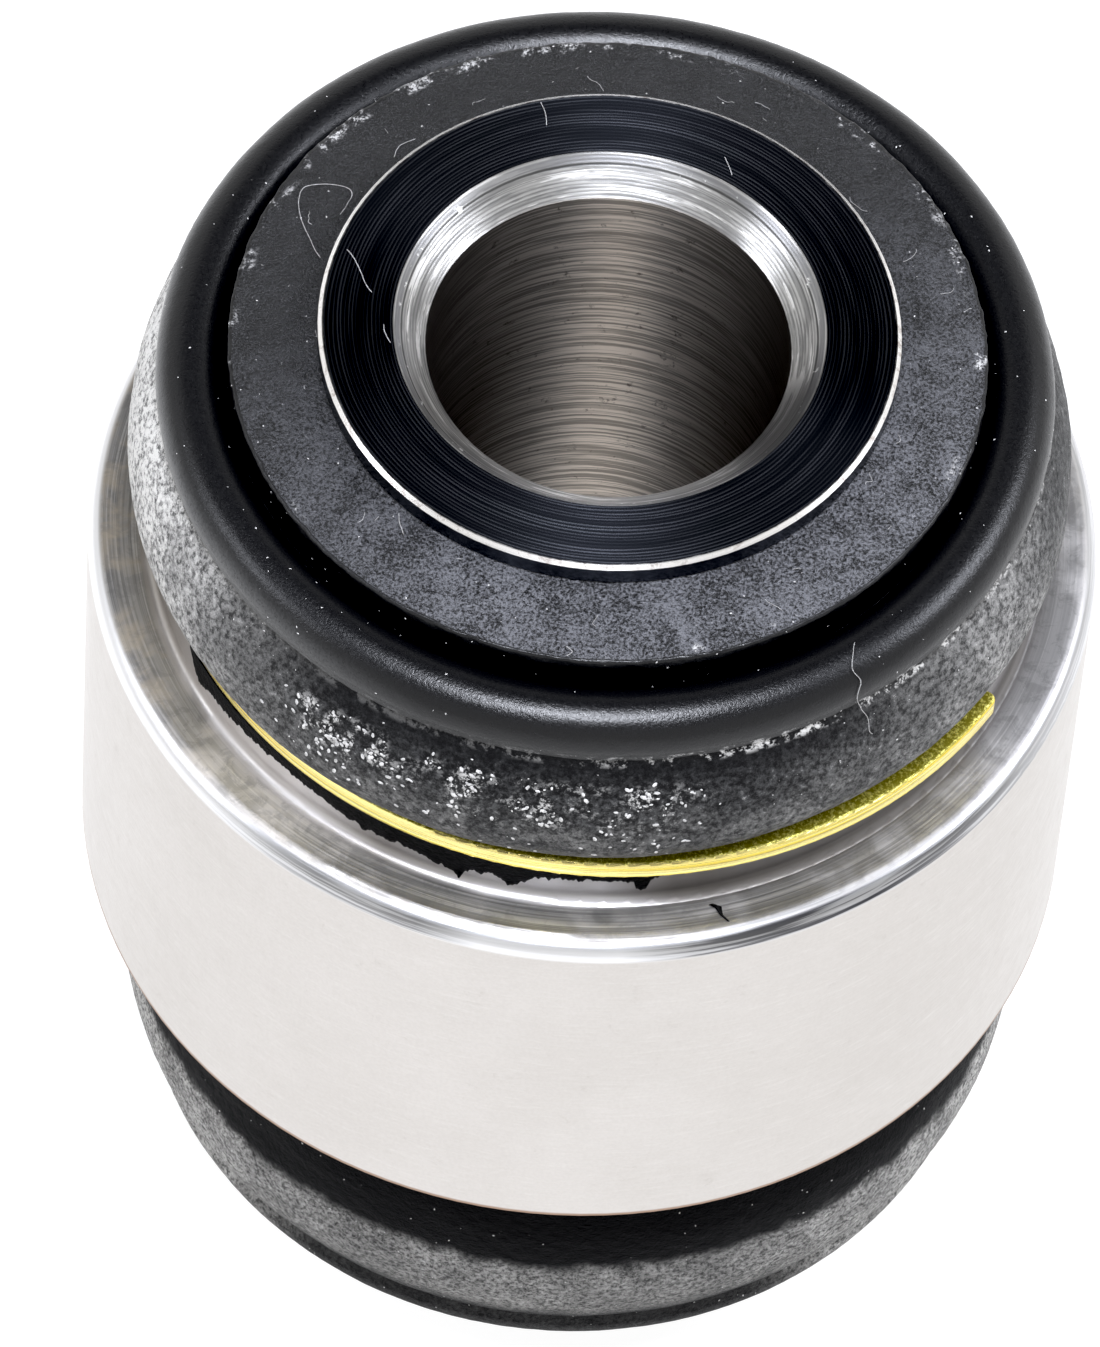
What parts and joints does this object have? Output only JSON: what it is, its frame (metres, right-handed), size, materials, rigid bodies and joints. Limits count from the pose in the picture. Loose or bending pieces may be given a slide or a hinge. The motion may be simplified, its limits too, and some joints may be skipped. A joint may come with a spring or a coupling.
{
  "type": "sealed ball joint bush",
  "caption": "Bolt-through ball joint bush: a ball sleeve swivels and tilts in a press-fit steel housing, sealed by ringed rubber boots.",
  "frame": {"origin": "centre of the ball, on the bore's axis at the middle of the sleeve", "axes": "+Z along the bore, towards the end where the housing's shoulder and neck show; the tilt joint turns about X"},
  "size_m": [0.04, 0.04, 0.0508],
  "materials": {
    "housing_steel": "satin ground",
    "closing_steel": "turned",
    "seat_plastic": "greased",
    "sleeve_steel": "bright turned",
    "boot_rubber": "dusty black",
    "yellow_wire": "yellow passivated"
  },
  "bodies": {
    "housing": {"outer_housing": "housing_steel", "closing_ring": "closing_steel", "upper_retaining_ring": "yellow_wire", "lower_retaining_ring": "yellow_wire"},
    "seat": {"bearing_shell": "seat_plastic"},
    "boots": {"upper_boot": "boot_rubber", "lower_boot": "boot_rubber"},
    "sleeve": {"ball_sleeve": "sleeve_steel"}
  },
  "joints": [
    {"name": "swing", "type": "hinge", "parent": "housing", "child": "seat", "pos_m": [0, 0, 0], "axis": [0, 0, 1], "continuous": true},
    {"name": "tilt", "type": "hinge", "parent": "seat", "child": "boots", "pos_m": [0, 0, 0], "axis": [1, 0, 0], "range_deg": [-10, 10], "deforming": ["upper_boot", "lower_boot"]},
    {"name": "spin", "type": "hinge", "parent": "boots", "child": "sleeve", "pos_m": [0, 0, 0], "axis": [0, 0, 1], "continuous": true}
  ]
}
